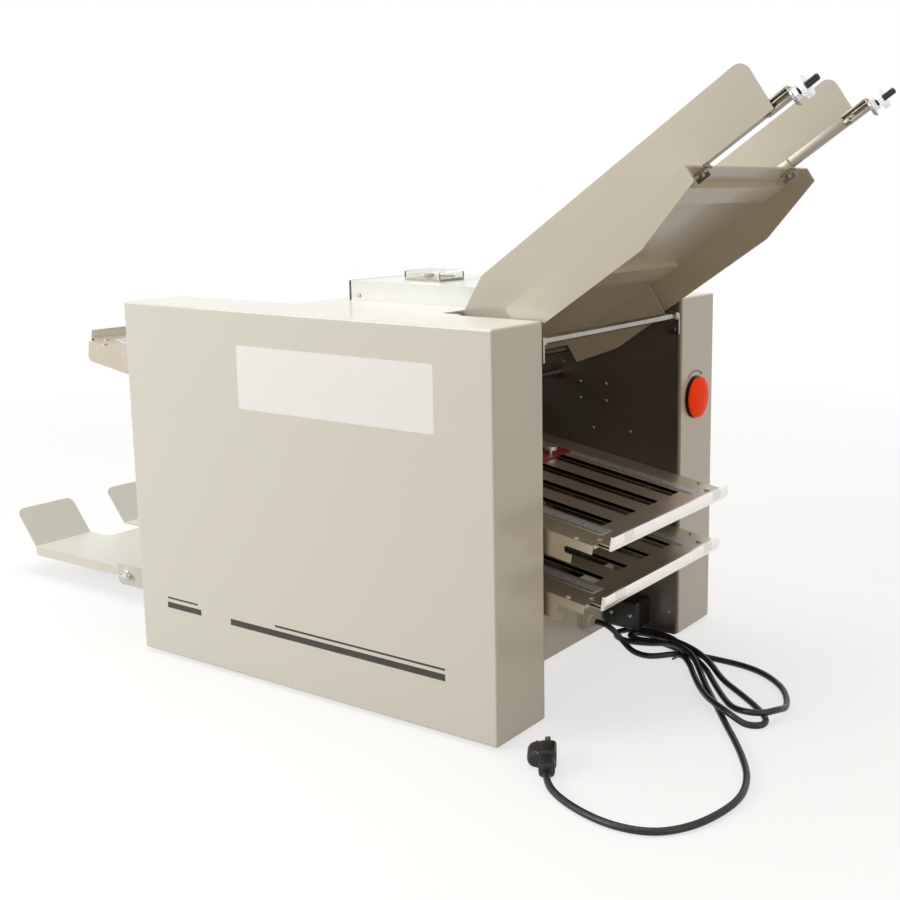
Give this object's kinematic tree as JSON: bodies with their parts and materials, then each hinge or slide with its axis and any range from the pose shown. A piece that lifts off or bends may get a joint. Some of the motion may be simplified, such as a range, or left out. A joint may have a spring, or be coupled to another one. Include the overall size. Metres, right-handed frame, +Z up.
{
  "type": "paper folding machine",
  "caption": "Desktop paper folder: sloping feed table, slotted fold plates with sliding stops, geared rollers between side covers, exit tray, stop button and mains cord.",
  "frame": {"origin": "on the floor, in the middle of the machine's footprint without its cord", "axes": "+X towards the feed table's top end, -X towards the exit tray, +Y towards the far cover with the stop button, +Z up"},
  "size_m": [1.3814, 0.611, 0.7599],
  "materials": {
    "cover_paint": "smooth cream-grey enamel",
    "table_paint": "smooth cream enamel",
    "frame_steel": "dark brown-black enamel",
    "zinc_steel": "bright zinc plate",
    "plate_steel": "satin sheet steel",
    "bright_chrome": "polished",
    "roller_rubber": "ground steel with a thin rubber sleeve",
    "feed_rubber": "matt rubber",
    "bronze": "sintered bronze",
    "belt_rubber": "matt rubber",
    "foot_rubber": "matt rubber",
    "stop_red": "dark red enamel",
    "black_plastic": "moulded, slightly grained",
    "grey_plastic": "moulded, slightly grained",
    "tie_plastic": "soft coated wire",
    "red_plastic": "orange-red moulding",
    "clear_plastic": "clear acrylic",
    "motor_paint": "dark grey enamel"
  },
  "bodies": {
    "frame": {"base_pan": "cover_paint", "cable_gland": "black_plastic", "control_box": "cover_paint", "control_box_end": "black_plastic", "cord_tie": "tie_plastic", "drive_belts": "belt_rubber", "drive_motor": "motor_paint", "exit_chute": "zinc_steel", "far_side_cover": "cover_paint", "far_side_frame": "frame_steel", "feed_table": "table_paint", "frame_screws": "zinc_steel", "mains_cord": "black_plastic", "mains_plug": "black_plastic", "near_side_cover": "cover_paint", "near_side_frame": "frame_steel", "plate_studs": "zinc_steel", "roller_bushes": "bronze", "rubber_feet": "foot_rubber", "stop_button_base": "black_plastic", "switch_panel": "grey_plastic", "terminal_cover": "black_plastic", "tie_rods": "bright_chrome", "top_deck": "cover_paint", "tray_brackets": "zinc_steel"},
    "fold_roller_1": {"fold_roller_1": "roller_rubber"},
    "fold_roller_2": {"fold_roller_2": "roller_rubber"},
    "fold_roller_3": {"fold_roller_3": "roller_rubber"},
    "fold_roller_4": {"fold_roller_4": "roller_rubber"},
    "fold_roller_5": {"fold_roller_5": "roller_rubber"},
    "fold_roller_6": {"fold_roller_6": "roller_rubber"},
    "feed_roller": {"feed_roller": "feed_rubber"},
    "exit_roller": {"exit_roller": "roller_rubber"},
    "motor_pulley": {"motor_pulley": "zinc_steel"},
    "left_upper_fold_plate": {"left_upper_fold_plate": "plate_steel"},
    "left_upper_paper_stop": {"left_upper_paper_stop": "stop_red"},
    "left_upper_stop_screw": {"left_upper_stop_screw": "black_plastic"},
    "right_upper_fold_plate": {"right_upper_fold_plate": "plate_steel"},
    "right_upper_paper_stop": {"right_upper_paper_stop": "stop_red"},
    "right_upper_stop_screw": {"right_upper_stop_screw": "black_plastic"},
    "left_lower_fold_plate": {"left_lower_fold_plate": "plate_steel"},
    "left_lower_paper_stop": {"left_lower_paper_stop": "stop_red"},
    "left_lower_stop_screw": {"left_lower_stop_screw": "black_plastic"},
    "right_lower_fold_plate": {"right_lower_fold_plate": "plate_steel"},
    "right_lower_paper_stop": {"right_lower_paper_stop": "stop_red"},
    "right_lower_stop_screw": {"right_lower_stop_screw": "black_plastic"},
    "near_side_guide": {"near_side_guide": "zinc_steel"},
    "near_guide_nut": {"near_guide_nut": "zinc_steel"},
    "near_guide_lock_screw": {"near_guide_lock_screw": "zinc_steel"},
    "far_side_guide": {"far_side_guide": "zinc_steel"},
    "far_guide_nut": {"far_guide_nut": "zinc_steel"},
    "far_guide_lock_screw": {"far_guide_lock_screw": "zinc_steel"},
    "button_guard": {"button_guard": "clear_plastic"},
    "start_button": {"start_button": "grey_plastic"},
    "stop_button_stem": {"stop_button_stem": "black_plastic"},
    "stop_button": {"stop_button": "red_plastic"},
    "exit_tray": {"exit_tray": "table_paint"},
    "near_tray_screw": {"near_tray_screw": "zinc_steel"},
    "far_tray_screw": {"far_tray_screw": "zinc_steel"}
  },
  "joints": [
    {"name": "fold_roller_1_spin", "type": "hinge", "parent": "frame", "child": "fold_roller_1", "pos_m": [0.09812, 0, 0.34121], "axis": [0, 1, 0], "continuous": true},
    {"name": "fold_roller_2_spin", "type": "hinge", "parent": "frame", "child": "fold_roller_2", "pos_m": [0.07813, 0, 0.30656], "axis": [0, 1, 0], "continuous": true},
    {"name": "fold_roller_3_spin", "type": "hinge", "parent": "frame", "child": "fold_roller_3", "pos_m": [0.08643, 0, 0.26743], "axis": [0, 1, 0], "continuous": true},
    {"name": "fold_roller_4_spin", "type": "hinge", "parent": "frame", "child": "fold_roller_4", "pos_m": [0.06645, 0, 0.23278], "axis": [0, 1, 0], "continuous": true},
    {"name": "fold_roller_5_spin", "type": "hinge", "parent": "frame", "child": "fold_roller_5", "pos_m": [0.07475, 0, 0.19365], "axis": [0, 1, 0], "continuous": true},
    {"name": "fold_roller_6_spin", "type": "hinge", "parent": "frame", "child": "fold_roller_6", "pos_m": [0.05476, 0, 0.159], "axis": [0, 1, 0], "continuous": true},
    {"name": "feed_roller_spin", "type": "hinge", "parent": "frame", "child": "feed_roller", "pos_m": [0.1863, 0, 0.36819], "axis": [0, 1, 0], "continuous": true},
    {"name": "exit_roller_spin", "type": "hinge", "parent": "frame", "child": "exit_roller", "pos_m": [-0.18772, 0, 0.062], "axis": [0, 1, 0], "continuous": true},
    {"name": "motor_pulley_spin", "type": "hinge", "parent": "frame", "child": "motor_pulley", "pos_m": [0.18728, 0, 0.079], "axis": [0, 1, 0], "continuous": true},
    {"name": "left_upper_fold_plate_slide", "type": "slide", "parent": "frame", "child": "left_upper_fold_plate", "axis": [-0.9877, 0, 0.1564], "range_m": [0, 0.15]},
    {"name": "left_upper_paper_stop_slide", "type": "slide", "parent": "left_upper_fold_plate", "child": "left_upper_paper_stop", "axis": [-0.9877, 0, 0.1564], "range_m": [-0.1, 0.3]},
    {"name": "left_upper_stop_screw_turn", "type": "hinge", "parent": "left_upper_paper_stop", "child": "left_upper_stop_screw", "pos_m": [-0.08789, 0.0855, 0.35683], "axis": [0.1564, 0, 0.9877], "range_deg": [0, 360]},
    {"name": "right_upper_fold_plate_slide", "type": "slide", "parent": "frame", "child": "right_upper_fold_plate", "axis": [0.9877, 0, -0.1564], "range_m": [0, 0.15]},
    {"name": "right_upper_paper_stop_slide", "type": "slide", "parent": "right_upper_fold_plate", "child": "right_upper_paper_stop", "axis": [0.9877, 0, -0.1564], "range_m": [-0.066, 0.179]},
    {"name": "right_upper_stop_screw_turn", "type": "hinge", "parent": "right_upper_paper_stop", "child": "right_upper_stop_screw", "pos_m": [0.22628, 0.0855, 0.26926], "axis": [0.1564, 0, 0.9877], "range_deg": [0, 360]},
    {"name": "left_lower_fold_plate_slide", "type": "slide", "parent": "frame", "child": "left_lower_fold_plate", "axis": [-0.9877, 0, 0.1564], "range_m": [0, 0.15]},
    {"name": "left_lower_paper_stop_slide", "type": "slide", "parent": "left_lower_fold_plate", "child": "left_lower_paper_stop", "axis": [-0.9877, 0, 0.1564], "range_m": [-0.066, 0.179]},
    {"name": "left_lower_stop_screw_turn", "type": "hinge", "parent": "left_lower_paper_stop", "child": "left_lower_stop_screw", "pos_m": [-0.06599, 0.0855, 0.27773], "axis": [0.1564, 0, 0.9877], "range_deg": [0, 360]},
    {"name": "right_lower_fold_plate_slide", "type": "slide", "parent": "frame", "child": "right_lower_fold_plate", "axis": [0.9877, 0, -0.1564], "range_m": [0, 0.15]},
    {"name": "right_lower_paper_stop_slide", "type": "slide", "parent": "right_lower_fold_plate", "child": "right_lower_paper_stop", "axis": [0.9877, 0, -0.1564], "range_m": [-0.066, 0.179]},
    {"name": "right_lower_stop_screw_turn", "type": "hinge", "parent": "right_lower_paper_stop", "child": "right_lower_stop_screw", "pos_m": [0.21459, 0.0855, 0.19548], "axis": [0.1564, 0, 0.9877], "range_deg": [0, 360]},
    {"name": "near_side_guide_slide", "type": "slide", "parent": "frame", "child": "near_side_guide", "axis": [0, -1, 0], "range_m": [-0.06, 0.035]},
    {"name": "near_guide_nut_turn", "type": "hinge", "parent": "near_side_guide", "child": "near_guide_nut", "pos_m": [0.67303, -0.1165, 0.73313], "axis": [0.8199, 0, 0.5726], "range_deg": [0, 360]},
    {"name": "near_guide_lock_screw_turn", "type": "hinge", "parent": "near_side_guide", "child": "near_guide_lock_screw", "pos_m": [0.55976, -0.1165, 0.64731], "axis": [-0.5726, 0, 0.8199], "range_deg": [0, 360]},
    {"name": "far_side_guide_slide", "type": "slide", "parent": "frame", "child": "far_side_guide", "axis": [0, 1, 0], "range_m": [-0.06, 0.035]},
    {"name": "far_guide_nut_turn", "type": "hinge", "parent": "far_side_guide", "child": "far_guide_nut", "pos_m": [0.67303, 0.1165, 0.73313], "axis": [0.8199, 0, 0.5726], "range_deg": [0, 360]},
    {"name": "far_guide_lock_screw_turn", "type": "hinge", "parent": "far_side_guide", "child": "far_guide_lock_screw", "pos_m": [0.55976, 0.1165, 0.64731], "axis": [-0.5726, 0, 0.8199], "range_deg": [0, 360]},
    {"name": "button_guard_hinge", "type": "hinge", "parent": "frame", "child": "button_guard", "pos_m": [0.08328, 0.0054, 0.513], "axis": [-1, 0, 0], "range_deg": [0, 110]},
    {"name": "start_button_press", "type": "slide", "parent": "frame", "child": "start_button", "axis": [0, 0, -1], "range_m": [0, 0.0015], "stiffness_N_per_m": 400},
    {"name": "stop_button_press", "type": "slide", "parent": "frame", "child": "stop_button_stem", "axis": [-1, 0, 0], "range_m": [0, 0.003]},
    {"name": "stop_button_twist", "type": "hinge", "parent": "stop_button_stem", "child": "stop_button", "pos_m": [0.38728, 0.21025, 0.342], "axis": [1, 0, 0], "range_deg": [0, 45], "stiffness_Nm_per_rad": 0.05},
    {"name": "exit_tray_slide", "type": "slide", "parent": "frame", "child": "exit_tray", "axis": [-1, 0, 0], "range_m": [0, 0.12]},
    {"name": "near_tray_screw_turn", "type": "hinge", "parent": "frame", "child": "near_tray_screw", "pos_m": [-0.41172, -0.13805, 0.041], "axis": [0, -1, 0], "range_deg": [0, 360]},
    {"name": "far_tray_screw_turn", "type": "hinge", "parent": "frame", "child": "far_tray_screw", "pos_m": [-0.41172, 0.13805, 0.041], "axis": [0, 1, 0], "range_deg": [0, 360]}
  ],
  "couplings": [
    {"joint": "fold_roller_1_spin", "follows": "fold_roller_5_spin", "ratio": 1},
    {"joint": "fold_roller_2_spin", "follows": "fold_roller_5_spin", "ratio": -1},
    {"joint": "fold_roller_3_spin", "follows": "fold_roller_5_spin", "ratio": 1},
    {"joint": "fold_roller_4_spin", "follows": "fold_roller_5_spin", "ratio": -1},
    {"joint": "fold_roller_6_spin", "follows": "fold_roller_5_spin", "ratio": -1},
    {"joint": "feed_roller_spin", "follows": "fold_roller_5_spin", "ratio": -1},
    {"joint": "exit_roller_spin", "follows": "fold_roller_5_spin", "ratio": -1},
    {"joint": "motor_pulley_spin", "follows": "fold_roller_5_spin", "ratio": 2}
  ]
}
